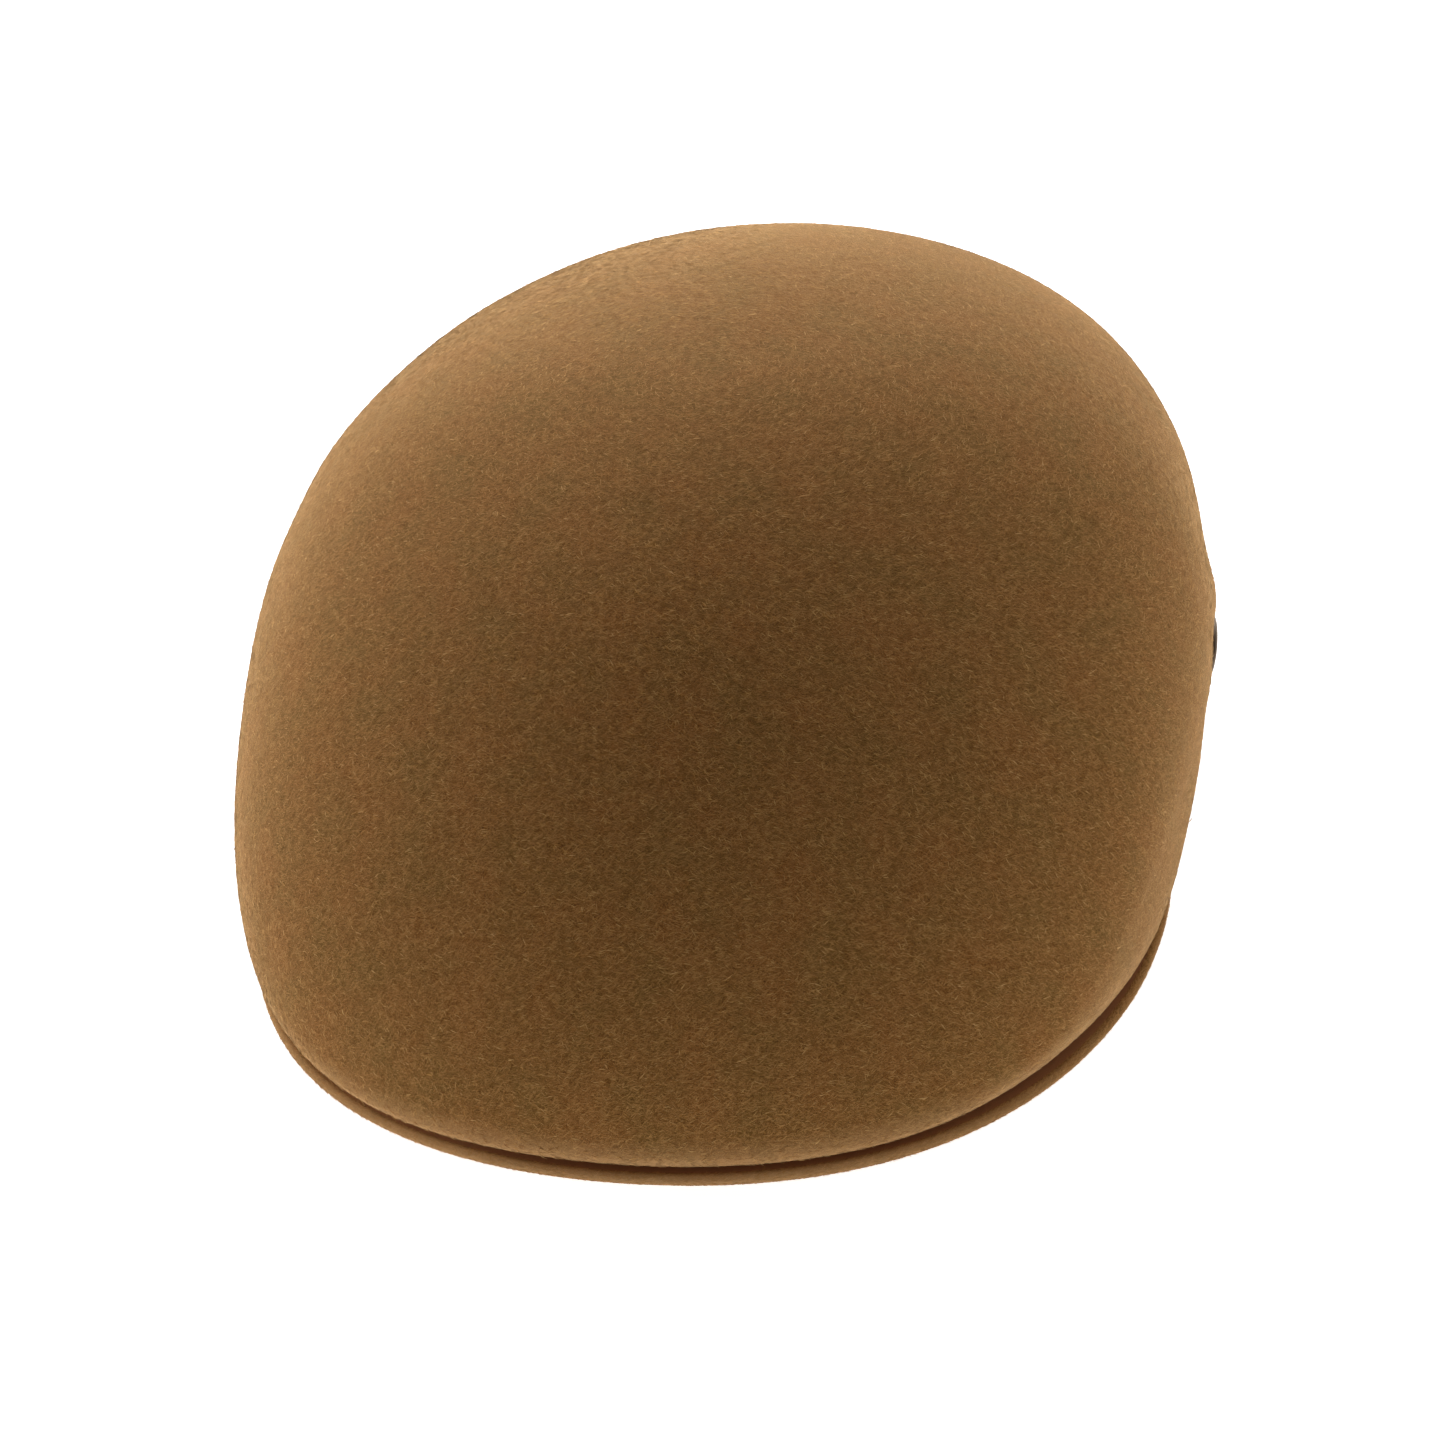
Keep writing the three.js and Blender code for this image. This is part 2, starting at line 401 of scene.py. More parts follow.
# The shares that carry the fold's painted shade and the roll's painted highlight on the crown.
outer_fold_shade = near_rim(directions[None, :], outer_rows, FOLD_HEIGHTS_MM)
outer_roll_highlight = near_rim(directions[None, :], outer_rows, ROLL_HEIGHTS_MM) * ROLL_HIGHLIGHT_SHARE
lay_on_crown("fold", outer_fold_shade)
lay_on_crown("roll", outer_roll_highlight)
print("shares of the outside in the fold and on the roll:",
      round(float(outer_fold_shade.mean()), 3), round(float(outer_roll_highlight.mean()), 3))

# %% [markdown]
# The peak
#
# The peak is a stiff board with felt pressed round it. From above only its rounded lip shows under
# the crown's roll, but from below the whole crescent does. It is one section, flat above and below
# and half round at its edges, carried from temple to temple just under the rim.

# %% The peak's crescent
PEAK_SETBACK = 1.5
PEAK_SLIPS_UNDER = (50.0, 72.0)
PEAK_ROUNDS_OFF = (66.0, 80.0)
PEAK_SECTORS = 320
EDGE_STEPS = 14
FLAT_STEPS = 10


def head_radius(direction):
    """Radius of the oval round the head: one over the length of the direction's sine and cosine,
    each divided by its half size."""
    angle = np.radians(direction)
    return 1 / np.hypot(np.sin(angle) / HEAD_HALF_WIDTH, np.cos(angle) / HEAD_HALF_LENGTH)


def peak_sections(direction):
    """The peak's section in each direction, as sections[direction, point], and each one's centre. It
    is a flat bar with half round ends, whose half length shrinks as a circle's does at the tips."""
    off = np.abs(direction)
    under_rim = smoothstep(off, *PEAK_SLIPS_UNDER)
    open_edge = section("swell_radius", direction) - PEAK_SETBACK
    outer = open_edge * (1 - under_rim) + section("rim_radius", direction) * under_rim
    inner = head_radius(direction)
    past_corner = np.clip((off - PEAK_ROUNDS_OFF[0]) / (PEAK_ROUNDS_OFF[1] - PEAK_ROUNDS_OFF[0]), 0, 1)
    taper = np.sqrt(1 - past_corner ** 2)
    edge_radius = PEAK_THICKNESS / 2
    middle = (outer + inner) / 2
    half_flat = np.maximum((outer - inner) / 2 * taper - edge_radius, 0.0)
    height = rim_height(direction) - SEAM_GAP - edge_radius
    turn = np.linspace(0, np.pi, EDGE_STEPS + 1)
    share = np.linspace(1, -1, FLAT_STEPS + 1)[1:-1]
    flat = np.concatenate([np.ones(len(turn)), share, -np.ones(len(turn)), -share])
    round_out = np.concatenate([np.sin(turn), 0 * share, -np.sin(turn), 0 * share])
    round_up = np.concatenate([np.cos(turn), -np.ones(len(share)), -np.cos(turn), np.ones(len(share))])
    across = middle[:, None] + half_flat[:, None] * flat + edge_radius * round_out
    up = height[:, None] + edge_radius * round_up
    return place(direction[:, None] + 0 * across, across, up), place(direction, middle, height)


peak_directions = np.linspace(PEAK_ROUNDS_OFF[1], -PEAK_ROUNDS_OFF[1], PEAK_SECTORS + 1)
peak_rings, peak_centres = peak_sections(peak_directions)
peak = closed_body("felt_peak", peak_centres[0], peak_rings, peak_centres[-1])
print("peak triangles:", triangle_count(peak))

# %% The peak's map, in metres along its edge and round its section
peak_along = path_lengths(peak_rings[:, 0], 0)
peak_round = path_lengths(peak_rings, 1)
peak_map = np.stack([np.broadcast_to(peak_along[:, None], peak_round.shape), peak_round], axis=-1)
lay_map(peak, "felt", np.concatenate([peak_map[0, :1], peak_map.reshape(-1, 2), peak_map[-1, :1]]))
print("length of the lip from end to end, in mm:", round(float(peak_along[-1] / MM), 1))

# %% The peak's side of the roll and the fold, with the lip's turns in degrees from its top
# Where on the lip the fold's painted shade and the roll's painted highlight lie.
LIP_FOLD_TURNS = (0.0, 12.0)
LIP_ROLL_TURNS = (0.0, 45.0)
LIP_UNDER_TURNS = (140.0, 180.0)
LIP_HIGHLIGHT_SHARE = 0.85
LIP_ROLL_ENDS = (10.0, 60.0)

lip_turns = np.linspace(0, 180, EDGE_STEPS + 1)
section_fold_shade = np.zeros(peak_rings.shape[1])
section_fold_shade[:EDGE_STEPS + 1] = 1 - smoothstep(lip_turns, *LIP_FOLD_TURNS)
flat_top = slice(-(FLAT_STEPS - 1), None)
section_fold_shade[flat_top] = 1.0
peak_fold_shade = np.tile(section_fold_shade, (len(peak_rings), 1))
section_roll_highlight = np.zeros(peak_rings.shape[1])
section_roll_highlight[:EDGE_STEPS + 1] = (smoothstep(lip_turns, *LIP_ROLL_TURNS)
                                 * (1 - smoothstep(lip_turns, *LIP_UNDER_TURNS)))
along_roll_highlight = LIP_HIGHLIGHT_SHARE * (1 - smoothstep(np.abs(peak_directions), *LIP_ROLL_ENDS))
peak_roll_highlight = np.outer(along_roll_highlight, section_roll_highlight)
# The shares that carry the fold's painted shade and the lip's painted highlight on the peak.
lay_share(peak, "fold", np.concatenate([[0.0], peak_fold_shade.ravel(), [0.0]]))
lay_share(peak, "roll", np.concatenate([[0.0], peak_roll_highlight.ravel(), [0.0]]))
print("shares of the peak in the fold and on the roll:",
      round(float(peak_fold_shade.mean()), 3), round(float(peak_roll_highlight.mean()), 3))

# %% [markdown]
# Nap
#
# A brushed fur felt has a nap: the ends of fine hairs, a millimetre or two long, that lie nearly flat
# and catch the light along the cap's outline. Hair particles would give them, but they don't leave
# Blender as a mesh. Here each hair is a sliver with four faces, from a root just inside the felt over
# its middle, where it is thickest, to its tip. Real fur is about 0.02 mm thick, too fine to show, so
# these are drawn up to three times as thick and far fewer. Because real ones let the light past,
# they cast no shadow.

# %% Where the hairs stand


def scatter(generator, rows, fold, count):
    """Random places spread evenly over a grid of points: a square is drawn by its area, less its
    share of the fold, then a place inside it. Returns the points, outward normals, and the two
    directions along the surface."""
    down = rows[1:, :-1] - rows[:-1, :-1]
    round_step = rows[:-1, 1:] - rows[:-1, :-1]
    facing = np.cross(down, round_step)
    area = np.linalg.norm(facing, axis=-1)
    weight = area * (1 - fold[:-1, :-1])
    chosen = generator.choice(area.size, size=count, p=(weight / weight.sum()).ravel())
    row, side = np.unravel_index(chosen, area.shape)
    step_down = generator.random((count, 1))
    step_round = generator.random((count, 1))
    points = rows[row, side] + down[row, side] * step_down + round_step[row, side] * step_round
    normals = facing[row, side] / area[row, side][:, None]
    tangents = down[row, side] / np.linalg.norm(down[row, side], axis=-1, keepdims=True)
    return points, normals, tangents, np.cross(normals, tangents)


# %% One hair, many times
HAIR_LENGTH_MM = (0.9, 2.4)
LIP_HAIR_LENGTH_MM = (0.5, 1.4)
HAIR_THICKNESS_MM = (0.03, 0.06)
HAIR_ROOT_DEPTH_MM = 0.08
HAIR_MIDDLE = 0.45
HAIR_LEAST_RISE = 0.02
HAIR_MIDDLE_RISE = 0.6
HAIR_TIP_RISE = 0.8
LYING_HAIR_LIFT = 0.03
STANDING_HAIR_LIFT = 0.08
STANDING_SHARE = 0.1
STANDING_THINNER = 0.6
HAIR_SCATTER = 0.5
HAIR_BEND = 0.03
HAIR_DRIFT = 0.3
HAIR_FLOW_MM = 22.0
HAIR_FLOW_WAVES = [
    # strength, change across, along and up, phase
    (1.2, 0.6, 0.0, 0.9, 0.4),
    (1.1, -0.5, 0.8, 0.0, 1.9),
    (0.9, 0.0, -1.0, 0.7, 0.0),
]
LOWEST_HAIR_MM = 0.3
HAIR_FACES = np.array([[0, 1, 2], [3, 2, 1], [0, 3, 1], [0, 2, 3]])


def flow_angle(points):
    """The way the nap was brushed, as an angle from straight down the felt: round the cap, give or
    take a slow drift, which is a sum of three waves."""
    x, y, z = (points / (HAIR_FLOW_MM * MM)).T
    waves = sum(
        strength * np.sin(across * x + along * y + up * z + phase)
        for strength, across, along, up, phase in HAIR_FLOW_WAVES
    )
    return np.pi / 2 + HAIR_DRIFT * waves


def make_nap(name, generator, rows, fold, lengths_mm, count):
    """Hairs as slivers: a root, two points across the middle and a tip. The middle is bent a little
    sideways, and both it and the tip rise by the hair's own lift. Some hairs stand up more and are
    thinner. Hairs that would reach below the surface that the cap rests on are left out. The hairs
    are lit as the felt under them is, by its own normals, and they cast no shadow."""
    points, normals, down, side = scatter(generator, rows, fold, count)
    angle = flow_angle(points) + generator.normal(0.0, HAIR_SCATTER, count)
    along = down * np.cos(angle)[:, None] + side * np.sin(angle)[:, None]
    beside = np.cross(normals, along)
    length = generator.uniform(*lengths_mm, count)[:, None] * MM
    half_thickness = generator.uniform(*HAIR_THICKNESS_MM, count)[:, None] * MM / 2
    stands = generator.random((count, 1)) < STANDING_SHARE
    half_thickness = half_thickness * np.where(stands, STANDING_THINNER, 1.0)
    lift = np.where(stands, STANDING_HAIR_LIFT, LYING_HAIR_LIFT)
    rise = HAIR_LEAST_RISE + lift * np.abs(generator.normal(0.0, 1.0, (count, 1)))
    bend = generator.normal(0.0, HAIR_BEND, count)[:, None]
    root = points - normals * HAIR_ROOT_DEPTH_MM * MM
    middle = points + length * (along * HAIR_MIDDLE + normals * rise * HAIR_MIDDLE_RISE + beside * bend)
    tip = points + length * (along + normals * rise * HAIR_TIP_RISE)
    half_width = beside * half_thickness
    hairs = np.stack([root, middle - half_width, middle + half_width, tip], axis=1)
    kept = hairs[..., 2].min(axis=1) > LOWEST_HAIR_MM * MM
    hairs = hairs[kept]
    points_each = hairs.shape[1]
    corners = (points_each * np.arange(len(hairs))[:, None, None] + HAIR_FACES).ravel()
    sizes = np.full(len(HAIR_FACES) * len(hairs), 3)
    nap = mesh_from_arrays(name, hairs.reshape(-1, 3), corners, sizes)
    nap.data.normals_split_custom_set_from_vertices(np.repeat(normals[kept], points_each, axis=0))
    nap.visible_shadow = False
    return nap


# %% The nap of the crown, in four pieces, and of the peak's lip
NAP_SEED = 7
CROWN_NAP_PIECES = 4
HAIRS_IN_A_PIECE = 47000
PEAK_HAIRS = 16000

generator = np.random.default_rng(NAP_SEED)
crown_rows = np.concatenate([outer_rows, outer_rows[:, :1]], axis=1)
crown_fold_shade = np.concatenate([outer_fold_shade, outer_fold_shade[:, :1]], axis=1)
lip_rows = np.swapaxes(peak_rings, 0, 1)[:EDGE_STEPS + 1, ::-1]
lip_fold_shade = np.swapaxes(peak_fold_shade, 0, 1)[:EDGE_STEPS + 1, ::-1]
naps = [
    make_nap(f"nap_crown_{number}", generator, crown_rows, crown_fold_shade, HAIR_LENGTH_MM, HAIRS_IN_A_PIECE)
    for number in range(1, CROWN_NAP_PIECES + 1)
]
naps.append(make_nap("nap_peak", generator, lip_rows, lip_fold_shade, LIP_HAIR_LENGTH_MM, PEAK_HAIRS))
print("nap triangles:", sum(triangle_count(nap) for nap in naps))

# %% [markdown]
# The badge
#
# A small metal plate is pinned to the wearer's left side. It is kept plain: an oval with a raised
# bead round a slightly domed face. It could be placed by eye, but it is turned as a profile about the
# badge's own axis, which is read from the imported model, so that it sits where that model seats it.
# Its back is thicker and reaches into the felt, as a tightly pinned badge sinks in.

# %% The badge's plate
BADGE_AROUND = 96
BADGE_PROFILE = np.array([
    # share of the radius, share of the thickness
    [1.0, 0.0],
    [1.0, 0.7],
    [0.985, 0.87],
    [0.95, 0.97],
    [0.91, 1.0],
    [0.87, 0.96],
    [0.83, 0.8],
    [0.79, 0.7],
    [0.74, 0.7],
    [0.5, 0.8],
    [0.25, 0.86],
])
BADGE_FACE_SHARE = 0.88
BADGE_SINK_MM = 0.6


def node_axes(name):
    """A flat node's centre, its axes from longest to shortest, and its half sizes along them."""
    mesh = frame["nodes"][name].data
    points = np.zeros(3 * len(mesh.vertices))
    mesh.vertices.foreach_get("co", points)
    points = np.unique(points.reshape(-1, 3).round(7), axis=0)
    middle = (points.min(axis=0) + points.max(axis=0)) / 2
    spread, axes = np.linalg.eigh(np.cov((points - middle).T))
    axes = axes.T[np.argsort(-spread)]
    reach = (points - middle) @ axes.T
    centre = middle + (reach.max(axis=0) + reach.min(axis=0)) / 2 @ axes
    return centre, axes, np.ptp(reach, axis=0) / 2


badge_centre, badge_axes, badge_half = node_axes("badge")
if badge_axes[2][0] < 0:
    badge_axes[2] = -badge_axes[2]
badge_axes[1] = np.cross(badge_axes[2], badge_axes[0])
badge_turns = np.linspace(0, 2 * np.pi, BADGE_AROUND, endpoint=False)
badge_oval = (np.cos(badge_turns)[:, None] * badge_axes[0] * badge_half[0]
              + np.sin(badge_turns)[:, None] * badge_axes[1] * badge_half[1])
badge_back = badge_centre - badge_axes[2] * (badge_half[2] + BADGE_SINK_MM * MM)
badge_rise = badge_axes[2] * (2 * badge_half[2] + BADGE_SINK_MM * MM)
badge_rings = (badge_back + BADGE_PROFILE[:, :1, None] * badge_oval[None]
               + BADGE_PROFILE[:, 1, None, None] * badge_rise)
badge_face = badge_back + badge_rise * BADGE_FACE_SHARE
badge = closed_body("badge_plate", badge_back, badge_rings[:, ::-1], badge_face)
print("badge half sizes in mm:", (badge_half / MM).round(2).tolist())

# %% [markdown]
# Helpers for materials
#
# Materials here are small graphs of nodes. They could be set out by hand in Blender, but written down
# they give the same result each time. Four helpers are enough: one turns a colour as a designer writes
# it into the linear values that Blender mixes, one adds a node with its settings and links, one turns
# a pattern's real size into its scale, and one starts a material.

# %% Colours and nodes


def linear(hex_colour):
    """A hex colour as linear red, green, blue and alpha, by the sRGB curve."""
    coded = np.array([int(hex_colour[start:start + 2], 16) for start in (1, 3, 5)]) / 255
    light = np.where(coded <= 0.04045, coded / 12.92, ((coded + 0.055) / 1.055) ** 2.4)
    return (*light.tolist(), 1.0)


def add_node(tree, kind, settings=None, **inputs):
    """Adds a node. Settings are its own properties. An input is a value or another node's output,
    under its socket's name, or under the socket's number after an underscore."""
    node = tree.nodes.new(kind)
    for name, value in (settings or {}).items():
        setattr(node, name, value)
    for name, value in inputs.items():
        socket = node.inputs[int(name[1:])] if name[1:].isdigit() else node.inputs[name.replace("_", " ")]
        if isinstance(value, bpy.types.NodeSocket):
            tree.links.new(value, socket)
        else:
            socket.default_value = value
    return node


def per_metre(size_mm):
    """How many times a pattern of this size repeats in a metre, for a texture that reads metres."""
    return 1 / (size_mm * MM)


def new_material(name):
    """An empty material with its surface output."""
    material = bpy.data.materials.new(name)
    material.use_nodes = True
    tree = material.node_tree
    tree.nodes.clear()
    return material, tree, tree.nodes.new("ShaderNodeOutputMaterial")


# %% [markdown]
# Fur felt
#
# Felt has no weave. Its fibres lie tangled, wavy and brushed, lighter than the gaps between them, over
# soft cloudy changes of colour from the dye. An image could be painted, but fibres can also be found:
# a noise that is drawn out along one direction crosses its own middle value along thin wavy lines, and
# three such noises, drawn out along different directions, make a tangle. Sheen stands for the fine
# fuzz that glows where the felt turns away.

# %% Noise, ranges, arithmetic and mixing


def noise_at(tree, places, size_mm, detail):
    """Flat noise whose cells are this big on the felt."""
    return add_node(tree, "ShaderNodeTexNoise", {"noise_dimensions": "2D"}, Vector=places,
                    Scale=per_metre(size_mm), Detail=detail)


def remap(tree, value, low, high, to_low, to_high):
    """Brings a value's range from low to high onto another range, and holds it there."""
    ranges = {"_1": low, "_2": high, "_3": to_low, "_4": to_high}
    return add_node(tree, "ShaderNodeMapRange", None, _0=value, **ranges).outputs[0]


def combine(tree, operation, first, second):
    """Arithmetic on two values."""
    return add_node(tree, "ShaderNodeMath", {"operation": operation}, _0=first, _1=second).outputs[0]


def mix_colours(tree, share, first, second):
    """One colour into another by a share."""
    return add_node(tree, "ShaderNodeMix", {"data_type": "RGBA"}, _0=share, _6=first, _7=second).outputs[2]


# %% Fibres drawn on the felt's map
FIBRE_LAYERS = [
    # direction on the map in degrees, spacing in mm
    (5.0, 0.32),
    (-20.0, 0.28),
    (40.0, 0.4),
]
FIBRE_STRETCH = 9.0
FIBRE_SHARE = 0.05
FIBRE_BREAK = 2.0
FIBRE_BREAK_RANGE = (0.3, 0.55)
FIBRE_FAINTEST = 0.5
WAVE_SIZE_MM = 5.0
WAVE_REACH_MM = 1.8


def fibres(tree, places, turn, spacing_mm):
    """Thin wavy lines along one direction of the map: 1 where the drawn out noise has its middle
    value, and 0 from a small difference on. A second noise breaks the lines into hairs."""
    drawn = add_node(tree, "ShaderNodeMapping", {"vector_type": "TEXTURE"}, Vector=places,
                     Rotation=(0.0, 0.0, turn), Scale=(FIBRE_STRETCH, 1.0, 1.0)).outputs[0]
    from_middle = combine(tree, "SUBTRACT", noise_at(tree, drawn, spacing_mm, detail=1.0).outputs[0], 0.5)
    line = remap(tree, combine(tree, "ABSOLUTE", from_middle, 0.0), 0.0, FIBRE_SHARE, 1.0, 0.0)
    patches = noise_at(tree, drawn, spacing_mm * FIBRE_BREAK, detail=0.0).outputs[0]
    return combine(tree, "MULTIPLY", line, remap(tree, patches, *FIBRE_BREAK_RANGE, FIBRE_FAINTEST, 1.0))


def wave_places(tree, places):
    """The map bent by a slow noise, so that what is drawn along it waves."""
    slow = noise_at(tree, places, WAVE_SIZE_MM, detail=1.0).outputs[1]
    centred = add_node(tree, "ShaderNodeVectorMath", {"operation": "SUBTRACT"}, _0=slow, _1=(0.5, 0.5, 0.5))
    reach = add_node(tree, "ShaderNodeVectorMath", {"operation": "SCALE"}, _0=centred.outputs[0],
                     Scale=WAVE_REACH_MM * MM)
    return add_node(tree, "ShaderNodeVectorMath", {"operation": "ADD"}, _0=places,
                    _1=reach.outputs[0]).outputs[0]


print("felt fibres are", [round(spacing * FIBRE_STRETCH, 1) for _, spacing in FIBRE_LAYERS], "mm long")

# %% The materials of the felt and of its hairs
CLOUD_MM = 14.0
CLOUD_RANGE = (0.3, 0.7)
GAP_MM = 0.3
GAP_RANGE = (0.3, 0.6)
GAP_RELIEF = 1.5
FIBRE_STRENGTH = 0.65
BUMP_MM = 0.12
BUMP_STRENGTH = 0.25
# Painted shade: a reddish tone mixed into the fold between the crown's roll and the peak, which sets the
# fold's dark line.
FOLD_PAINTED_SHADE = "#936243"
FOLD_SHADE_STRENGTH = 0.75
# Painted highlight: a pale tone mixed onto the crown's roll and the peak's lip, for the light they catch
# from below and in front.
ROLL_PAINTED_HIGHLIGHT = "#cfa574"
ROLL_HIGHLIGHT_STRENGTH = 0.6
FUR_GLOSS = 0.1
FELT_ROUGHNESS = 1.0
HAIR_ROUGHNESS = 0.8
SHEEN = 0.93
SHEEN_ROUGHNESS = 0.35
SHEEN_TINT = "#eac08a"


def tint_where(tree, attribute, strength, colour, tint):
    """Mixes a tint in by the piece's own number of that name."""
    share = add_node(tree, "ShaderNodeAttribute", {"attribute_name": attribute}).outputs["Fac"]
    return mix_colours(tree, combine(tree, "MULTIPLY", share, strength), colour, linear(tint))


def fur_surface(tree, output, colour, roughness, **more):
    """Ends a material as fur: rough, with hardly any gloss and a strong sheen."""
    shader = add_node(tree, "ShaderNodeBsdfPrincipled", None, Base_Color=colour, Roughness=roughness,
                      Specular_IOR_Level=FUR_GLOSS, Sheen_Weight=SHEEN, Sheen_Roughness=SHEEN_ROUGHNESS,
                      Sheen_Tint=linear(SHEEN_TINT), **more)
    tree.links.new(shader.outputs[0], output.inputs[0])


def felt_material(name, gap, warm, olive, fibre):
    """Dyed fur felt, brushed. Gap is the colour between the fibres, warm and olive are the two ends
    of its body's colour, and fibre is the colour of the hairs that lie on top. A painted highlight makes it
    paler on the roll and on the peak's lip, and painted shade makes the fold between them reddish."""
    material, tree, output = new_material(name)
    felt_map = add_node(tree, "ShaderNodeUVMap", {"uv_map": "felt"}).outputs[0]
    waved = wave_places(tree, felt_map)
    layers = [fibres(tree, waved, np.radians(turn), spacing) for turn, spacing in FIBRE_LAYERS]
    tangle = combine(tree, "MAXIMUM", combine(tree, "MAXIMUM", layers[0], layers[1]), layers[2])
    gaps = noise_at(tree, waved, GAP_MM, detail=4.0).outputs[0]
    clouds = remap(tree, noise_at(tree, felt_map, CLOUD_MM, detail=2.0).outputs[0], *CLOUD_RANGE, 0.0, 1.0)
    body = mix_colours(tree, clouds, linear(warm), linear(olive))
    body = mix_colours(tree, remap(tree, gaps, *GAP_RANGE, 0.0, 1.0), linear(gap), body)
    colour = mix_colours(tree, combine(tree, "MULTIPLY", tangle, FIBRE_STRENGTH), body, linear(fibre))
    # Painted highlight on the roll and the lip, then painted shade in the fold.
    colour = tint_where(tree, "roll", ROLL_HIGHLIGHT_STRENGTH, colour, ROLL_PAINTED_HIGHLIGHT)
    colour = tint_where(tree, "fold", FOLD_SHADE_STRENGTH, colour, FOLD_PAINTED_SHADE)
    height = combine(tree, "ADD", combine(tree, "MULTIPLY", gaps, GAP_RELIEF), tangle)
    bump = add_node(tree, "ShaderNodeBump", None, Strength=BUMP_STRENGTH, Distance=BUMP_MM * MM,
                    Height=height)
    fur_surface(tree, output, colour, FELT_ROUGHNESS, Normal=bump.outputs[0])
    return material


def hair_material(name, colour):
    """The felt's loose hairs: one dyed colour, each far too thin to carry a pattern."""
    material, tree, output = new_material(name)
    fur_surface(tree, output, linear(colour), HAIR_ROUGHNESS)
    return material


fur_felt = felt_material("brushed_fur_felt", "#4a2f11", "#805225", "#715124", "#bc8c55")
crown.data.materials.append(fur_felt)
peak.data.materials.append(fur_felt)
HAIR_COLOURS = ["#7a5026", "#8a5d2f", "#ad7f46", "#c3985f", "#a07543"]
for nap, colour in zip(naps, HAIR_COLOURS):
    nap.data.materials.append(hair_material("fur_" + colour[1:], colour))
print("felt nodes:", len(fur_felt.node_tree.nodes), "hair colours:", len(HAIR_COLOURS))

# %% [markdown]
# Badge metal
#
# The badge is a small casting in a dark antique finish: the metal was browned, then rubbed, which
# left some places brighter and smoother than others. It could be one dark metal, but that looks like
# paint, so a soft noise varies both its colour and how smooth it is.

# %% The badge's material
METAL_GRAIN_MM = 1.5
METAL_ROUGHNESS = (0.32, 0.5)
METAL_BUMP_MM = 0.05
METAL_BUMP_STRENGTH = 0.2
METAL_SHARE = 0.6


def browned_metal(name, browned, rubbed):
    """Cast zinc alloy, chemically browned and rubbed, satin. Browned and rubbed are its two colours."""
    material, tree, output = new_material(name)
    places = add_node(tree, "ShaderNodeTexCoord").outputs["Object"]
    noise = add_node(tree, "ShaderNodeTexNoise", None, Vector=places, Scale=per_metre(METAL_GRAIN_MM),
                     Detail=3.0).outputs[0]
    rough = remap(tree, noise, 0.0, 1.0, *METAL_ROUGHNESS)
    colour = mix_colours(tree, noise, linear(browned), linear(rubbed))
    bump = add_node(tree, "ShaderNodeBump", None, Strength=METAL_BUMP_STRENGTH, Distance=METAL_BUMP_MM * MM,
                    Height=noise)
    shader = add_node(tree, "ShaderNodeBsdfPrincipled", None, Base_Color=colour, Metallic=METAL_SHARE,
                      Roughness=rough, Normal=bump.outputs[0])
    tree.links.new(shader.outputs[0], output.inputs[0])
    return material


badge.data.materials.append(browned_metal("browned_rubbed_metal", "#57493c", "#766656"))
print("metal grain in mm:", METAL_GRAIN_MM)

# %% [markdown]
# The pieces take their nodes' places
#
# Each piece rides on the imported model's one body. The crown, the peak and the badge stand for the
# nodes they were made from, which are hidden.

# %% Riding and replacing
dressed = [(crown, "fur_felt"), (peak, "fur_felt"), (badge, "badge_metal")]
dressed += [(nap, "fur_felt") for nap in naps]
for piece, slot in dressed:
    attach(piece, "root")
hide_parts("crown")
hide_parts("peak")
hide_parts("badge")
print("pieces on the body:", len(dressed))

# %% [markdown]
# The studio
#
# The photograph was lit as products are: inside a white surround, so that soft light comes from the
# sides, from above and behind, and back up from the table, and least from where the camera stands.
# That leaves the felt darkest where it faces the camera and pale along its edges. Its background is
# pure white with no shadow. Large softboxes round a pale floor that glows from below, as a light
# table does, give the same light and leave no shadow either.

# %% The floor, with its sizes in metres
FLOOR_HALF = 4.0
FLOOR_HEIGHT = -0.0003
FLOOR_ROUGHNESS = 0.9
FLOOR_GLOW = 0.88


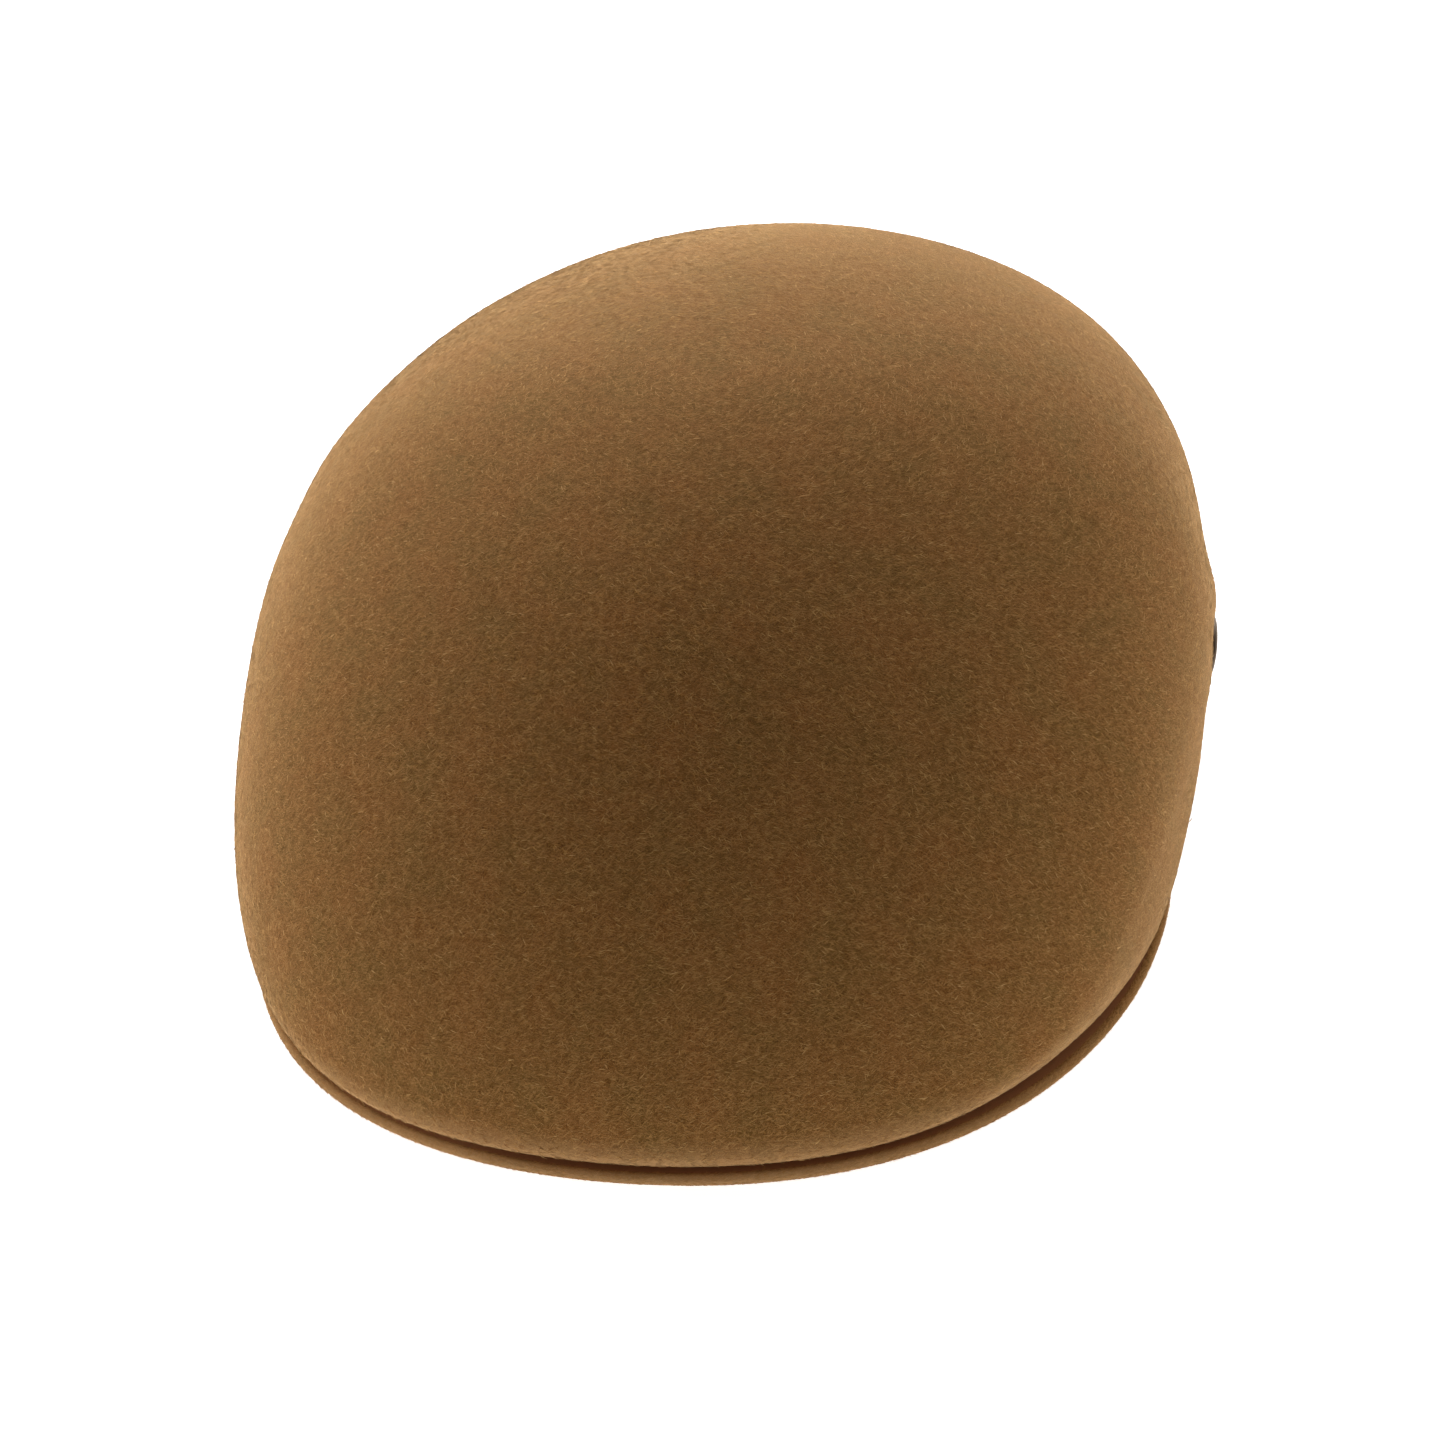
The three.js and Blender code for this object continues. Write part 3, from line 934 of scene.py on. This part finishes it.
def make_floor():
    """A pale sheet that runs far past the picture on all sides and glows softly."""
    sides = FLOOR_HALF * np.array([[-1, -1], [1, -1], [1, 1], [-1, 1]])
    corners = np.column_stack([sides, np.full(len(sides), FLOOR_HEIGHT)])
    floor = mesh_from_arrays("studio_floor", corners, np.arange(4), np.array([4]))
    material, tree, output = new_material("matt_white_acrylic_lit_from_below")
    shader = add_node(tree, "ShaderNodeBsdfPrincipled", None, Base_Color=linear("#f4f4f2"),
                      Roughness=FLOOR_ROUGHNESS, Emission_Color=linear("#ffffff"),
                      Emission_Strength=FLOOR_GLOW)
    tree.links.new(shader.outputs[0], output.inputs[0])
    floor.data.materials.append(material)
    return floor


make_floor()
print("floor side in metres:", 2 * FLOOR_HALF)

# %% The lights
CAP_MIDDLE = (0.0, 0.0, 0.05)
SOFTBOXES = [
    # name, place and size in metres, power in watts
    ("light_back_left", (-1.1, 1.1, 0.6), 0.9, 14.0),
    ("light_back_right", (1.1, 1.1, 0.6), 0.9, 5.0),
    ("light_behind_high", (0.0, 1.1, 1.2), 1.2, 11.0),
    ("light_behind_low", (0.0, 1.5, 0.45), 1.0, 16.0),
    ("light_left", (-1.4, 0.1, 0.25), 0.5, 12.0),
    ("light_right", (1.4, 0.2, 0.6), 1.1, 5.0),
    ("light_front_low", (0.0, -1.5, 0.2), 0.8, 3.8),
    ("light_front_left", (-1.1, -1.1, 0.7), 0.9, 2.0),
]


def soft_light(name, place_at, aim, size, power):
    """A square softbox that looks at a point."""
    lamp = bpy.data.lights.new(name, "AREA")
    lamp.shape = "SQUARE"
    lamp.size = size
    lamp.energy = power
    light = bpy.data.objects.new(name, lamp)
    light.location = place_at
    light.rotation_euler = (Vector(aim) - Vector(place_at)).to_track_quat("-Z", "Y").to_euler()
    bpy.context.scene.collection.objects.link(light)
    return light


for name, place_at, size, power in SOFTBOXES:
    soft_light(name, place_at, CAP_MIDDLE, size, power)
world = bpy.data.worlds.new("dark_room")
world.use_nodes = True
world.node_tree.nodes["Background"].inputs[0].default_value = (0.0, 0.0, 0.0, 1.0)
bpy.context.scene.world = world
bpy.context.scene.view_settings.view_transform = "Standard"
